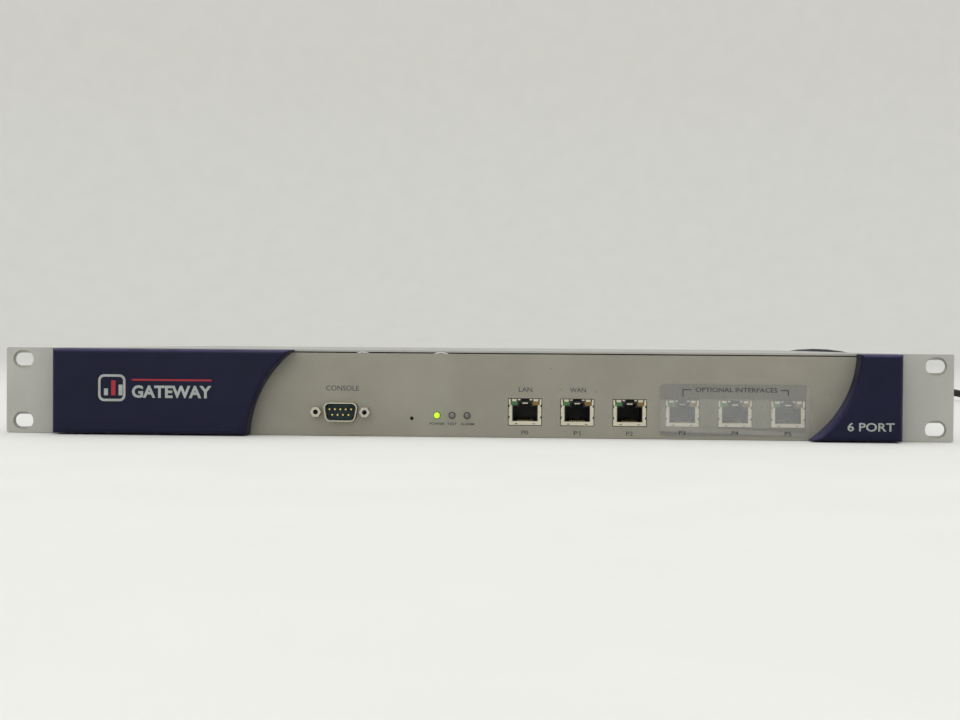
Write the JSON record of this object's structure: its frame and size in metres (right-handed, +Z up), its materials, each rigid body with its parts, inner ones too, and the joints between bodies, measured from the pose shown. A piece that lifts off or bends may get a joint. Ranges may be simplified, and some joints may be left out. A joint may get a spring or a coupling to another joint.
{
  "type": "rack-mount firewall appliance",
  "caption": "Flat rack-mount network firewall with eared front panel, curved navy bezels, console and network sockets, rear fans, rocker switch and a mains lead.",
  "frame": {"origin": "middle of the footprint of the appliance itself (bezels, ears, case and rear fittings, without the mains lead), on the surface it stands on", "axes": "+X to the right seen from the front, along the rack width; +Y to the back; +Z up"},
  "size_m": [0.7691, 0.5188, 0.0455],
  "materials": {
    "amber_window": "translucent amber",
    "battery_steel": "stainless can",
    "black_plastic": "moulded black",
    "brass_blades": "nickel-plated brass",
    "button_plastic": "moulded black",
    "chip_plastic": "moulded package",
    "circuit_board": "green solder mask",
    "clear_lens": "cloudy clear lens",
    "cord_rubber": "matt black cord jacket",
    "cover_sheet": "satin light grey paint",
    "ear_bracket": "zinc-plated bracket",
    "fan_plastic": "glass-filled black",
    "gold_contacts": "gold flash",
    "green_window": "translucent green",
    "grey_film": "translucent grey printed film",
    "grey_panel": "fine satin warm grey paint",
    "guard_steel": "plated stamped steel",
    "heatsink_metal": "extruded aluminium",
    "jack_shield": "nickel-plated shield",
    "navy_plastic": "semi-gloss moulded navy",
    "nickel_screws": "nickel-plated steel",
    "rocker_plastic": "glossy black rocker",
    "supply_board": "brown phenolic board",
    "supply_parts": "coils, sleeves and tape",
    "teal_plastic": "moulded dark teal",
    "tie_plastic": "black wrap tie",
    "wire_cover": "wire insulation",
    "zinc_sheet": "zinc-plated sheet"
  },
  "bodies": {
    "appliance": {"chassis_base": "zinc_sheet", "front_panel": "grey_panel", "rack_ear_left": "ear_bracket", "rack_ear_right": "ear_bracket", "top_cover": "cover_sheet", "bezel_left": "navy_plastic", "bezel_right": "navy_plastic", "jack_shell_1": "jack_shield", "jack_insert_1": "black_plastic", "jack_shell_2": "jack_shield", "jack_insert_2": "black_plastic", "jack_shell_3": "jack_shield", "jack_insert_3": "black_plastic", "jack_shell_4": "jack_shield", "jack_insert_4": "black_plastic", "jack_shell_5": "jack_shield", "jack_insert_5": "black_plastic", "jack_shell_6": "jack_shield", "jack_insert_6": "black_plastic", "jack_contacts": "gold_contacts", "jack_green_lights": "green_window", "jack_amber_lights": "amber_window", "console_shell": "jack_shield", "console_insert": "teal_plastic", "console_pins": "gold_contacts", "console_jackscrews": "nickel_screws", "power_led": "green_window", "status_leds": "clear_lens", "reset_switch": "black_plastic", "port_cover_film": "grey_film", "mains_inlet": "black_plastic", "inlet_blades": "brass_blades", "switch_frame": "black_plastic", "fan_frame_1": "fan_plastic", "fan_frame_2": "fan_plastic", "fan_frame_3": "fan_plastic", "fan_guards": "guard_steel", "main_board": "circuit_board", "processor": "chip_plastic", "heatsink": "heatsink_metal", "memory_module": "circuit_board", "flash_card": "chip_plastic", "clock_battery": "battery_steel", "board_components": "chip_plastic", "supply_board": "supply_board", "supply_components": "supply_parts", "supply_heatsinks": "heatsink_metal", "supply_harness": "wire_cover", "standoffs": "brass_blades", "screws": "nickel_screws", "inlet_connector": "cord_rubber", "power_cord": "cord_rubber", "power_cord_coil": "cord_rubber", "mains_plug": "cord_rubber", "cord_tie": "tie_plastic"},
    "reset_button": {"reset_button": "button_plastic"},
    "power_rocker": {"power_rocker": "rocker_plastic"},
    "fan_rotor_1": {"fan_rotor_1": "fan_plastic"},
    "fan_rotor_2": {"fan_rotor_2": "fan_plastic"},
    "fan_rotor_3": {"fan_rotor_3": "fan_plastic"}
  },
  "joints": [
    {"name": "reset_press", "type": "slide", "parent": "appliance", "child": "reset_button", "axis": [0, 1, 0], "range_m": [0, 0.0008], "stiffness_N_per_m": 400, "springref_m": -0.001},
    {"name": "power_rock", "type": "hinge", "parent": "appliance", "child": "power_rocker", "pos_m": [0.138, 0.16953, 0.0215], "axis": [0, 0, 1], "range_deg": [0, 20]},
    {"name": "fan_1_spin", "type": "hinge", "parent": "appliance", "child": "fan_rotor_1", "pos_m": [-0.16, 0.16253, 0.0218], "axis": [0, 1, 0], "continuous": true},
    {"name": "fan_2_spin", "type": "hinge", "parent": "appliance", "child": "fan_rotor_2", "pos_m": [-0.1, 0.16253, 0.0218], "axis": [0, 1, 0], "continuous": true},
    {"name": "fan_3_spin", "type": "hinge", "parent": "appliance", "child": "fan_rotor_3", "pos_m": [-0.04, 0.16253, 0.0218], "axis": [0, 1, 0], "continuous": true}
  ]
}
